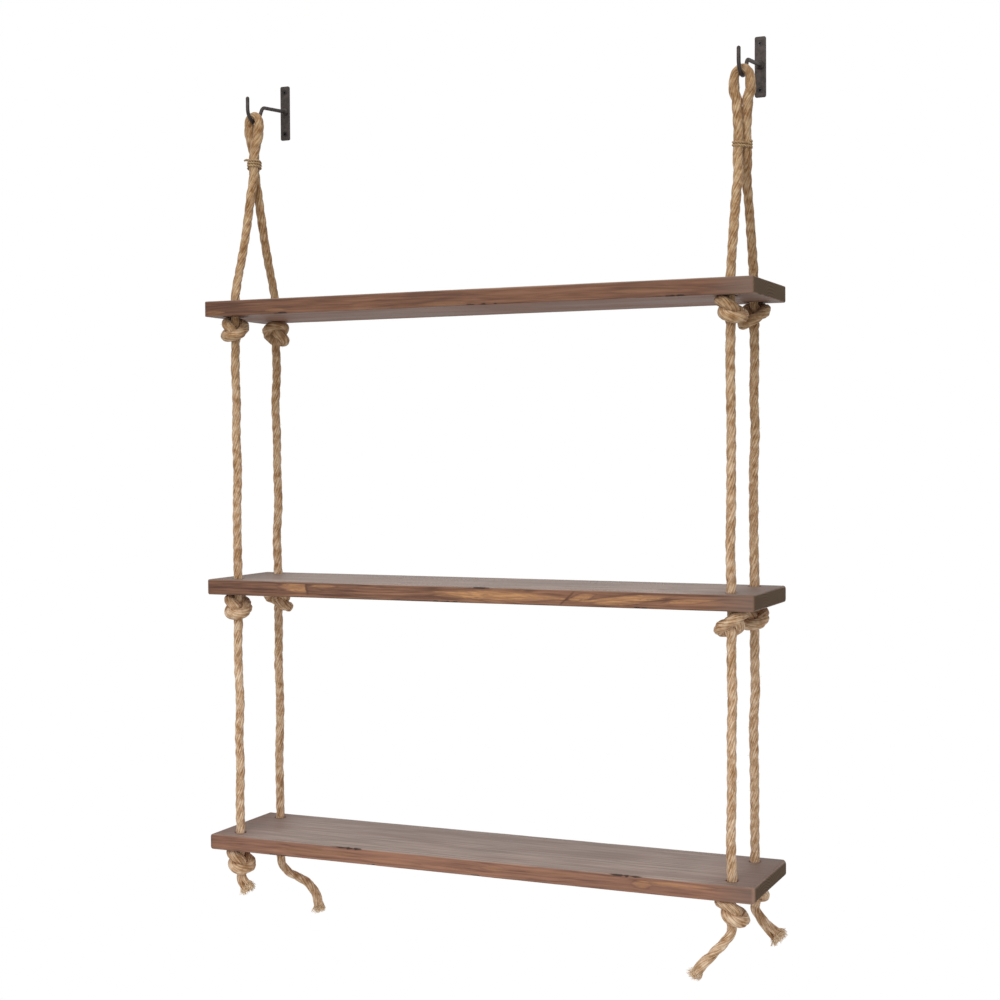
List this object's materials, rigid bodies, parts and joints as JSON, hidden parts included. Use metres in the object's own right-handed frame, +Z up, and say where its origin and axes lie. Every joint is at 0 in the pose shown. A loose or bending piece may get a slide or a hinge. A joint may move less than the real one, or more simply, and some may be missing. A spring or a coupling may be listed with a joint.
{
  "type": "hanging rope shelf",
  "caption": "Three-tier hanging wall shelf: pine planks on knotted jute ropes that loop over a pair of forged iron wall hooks.",
  "frame": {"origin": "centre of the left hook plate's back face, on the wall", "axes": "+Z up, +X to the viewer's right along the planks, +Y into the wall"},
  "size_m": [0.7, 0.149, 1.0667],
  "materials": {
    "pine": "walnut-stained pine, hand-rubbed, with worn arrises",
    "jute_rope": "three-strand laid jute, natural, slightly hairy",
    "jute_twine": "thin jute twine, natural",
    "wrought_iron": "hand-forged, brown-black, waxed"
  },
  "bodies": {
    "wall_hooks": {"left_hook_plate": "wrought_iron", "left_hook_rod": "wrought_iron", "right_hook_plate": "wrought_iron", "right_hook_rod": "wrought_iron"},
    "rope_eyes": {"left_rope_eye": "jute_rope", "left_twine_binding": "jute_twine", "right_rope_eye": "jute_rope", "right_twine_binding": "jute_twine"},
    "top_left_ropes": {"left_front_top_rope": "jute_rope", "left_rear_top_rope": "jute_rope"},
    "top_right_ropes": {"right_front_top_rope": "jute_rope", "right_rear_top_rope": "jute_rope"},
    "top_tier": {"top_plank": "pine", "left_front_top_knot": "jute_rope", "left_rear_top_knot": "jute_rope", "right_front_top_knot": "jute_rope", "right_rear_top_knot": "jute_rope"},
    "middle_left_ropes": {"left_front_middle_rope": "jute_rope", "left_rear_middle_rope": "jute_rope"},
    "middle_right_ropes": {"right_front_middle_rope": "jute_rope", "right_rear_middle_rope": "jute_rope"},
    "middle_tier": {"middle_plank": "pine", "left_front_middle_knot": "jute_rope", "left_rear_middle_knot": "jute_rope", "right_front_middle_knot": "jute_rope", "right_rear_middle_knot": "jute_rope"},
    "bottom_left_ropes": {"left_front_bottom_rope": "jute_rope", "left_rear_bottom_rope": "jute_rope"},
    "bottom_right_ropes": {"right_front_bottom_rope": "jute_rope", "right_rear_bottom_rope": "jute_rope"},
    "bottom_tier": {"bottom_plank": "pine", "left_front_bottom_knot": "jute_rope", "left_rear_bottom_knot": "jute_rope", "right_front_bottom_knot": "jute_rope", "right_rear_bottom_knot": "jute_rope", "left_front_rope_end": "jute_rope", "left_rear_rope_end": "jute_rope", "right_front_rope_end": "jute_rope", "right_rear_rope_end": "jute_rope"}
  },
  "joints": [
    {"name": "front_back_swing", "type": "hinge", "parent": "wall_hooks", "child": "rope_eyes", "pos_m": [0.318, -0.079, -0.0109], "axis": [-1, 0, 0], "range_deg": [-0.5, 15]},
    {"name": "top_left_sway", "type": "hinge", "parent": "rope_eyes", "child": "top_left_ropes", "pos_m": [0, -0.079, -0.13925], "axis": [0, -1, 0], "range_deg": [-8, 8]},
    {"name": "top_right_sway", "type": "hinge", "parent": "rope_eyes", "child": "top_right_ropes", "pos_m": [0.636, -0.079, -0.13925], "axis": [0, -1, 0], "range_deg": [-8, 8]},
    {"name": "top_levelling", "type": "hinge", "parent": "top_left_ropes", "child": "top_tier", "pos_m": [0, -0.079, -0.25415], "axis": [0, -1, 0], "range_deg": [-8, 8]},
    {"name": "middle_left_sway", "type": "hinge", "parent": "top_tier", "child": "middle_left_ropes", "pos_m": [0, -0.079, -0.30565], "axis": [0, -1, 0], "range_deg": [-8, 8]},
    {"name": "middle_right_sway", "type": "hinge", "parent": "top_tier", "child": "middle_right_ropes", "pos_m": [0.636, -0.079, -0.30565], "axis": [0, -1, 0], "range_deg": [-8, 8]},
    {"name": "middle_levelling", "type": "hinge", "parent": "middle_left_ropes", "child": "middle_tier", "pos_m": [0, -0.079, -0.59915], "axis": [0, -1, 0], "range_deg": [-8, 8]},
    {"name": "bottom_left_sway", "type": "hinge", "parent": "middle_tier", "child": "bottom_left_ropes", "pos_m": [0, -0.079, -0.65065], "axis": [0, -1, 0], "range_deg": [-8, 8]},
    {"name": "bottom_right_sway", "type": "hinge", "parent": "middle_tier", "child": "bottom_right_ropes", "pos_m": [0.636, -0.079, -0.65065], "axis": [0, -1, 0], "range_deg": [-8, 8]},
    {"name": "bottom_levelling", "type": "hinge", "parent": "bottom_left_ropes", "child": "bottom_tier", "pos_m": [0, -0.079, -0.91815], "axis": [0, -1, 0], "range_deg": [-8, 8]}
  ],
  "couplings": [
    {"joint": "top_right_sway", "follows": "top_left_sway", "ratio": 1},
    {"joint": "top_levelling", "follows": "top_left_sway", "ratio": -1},
    {"joint": "middle_right_sway", "follows": "middle_left_sway", "ratio": 1},
    {"joint": "middle_levelling", "follows": "middle_left_sway", "ratio": -1},
    {"joint": "bottom_right_sway", "follows": "bottom_left_sway", "ratio": 1},
    {"joint": "bottom_levelling", "follows": "bottom_left_sway", "ratio": -1}
  ]
}
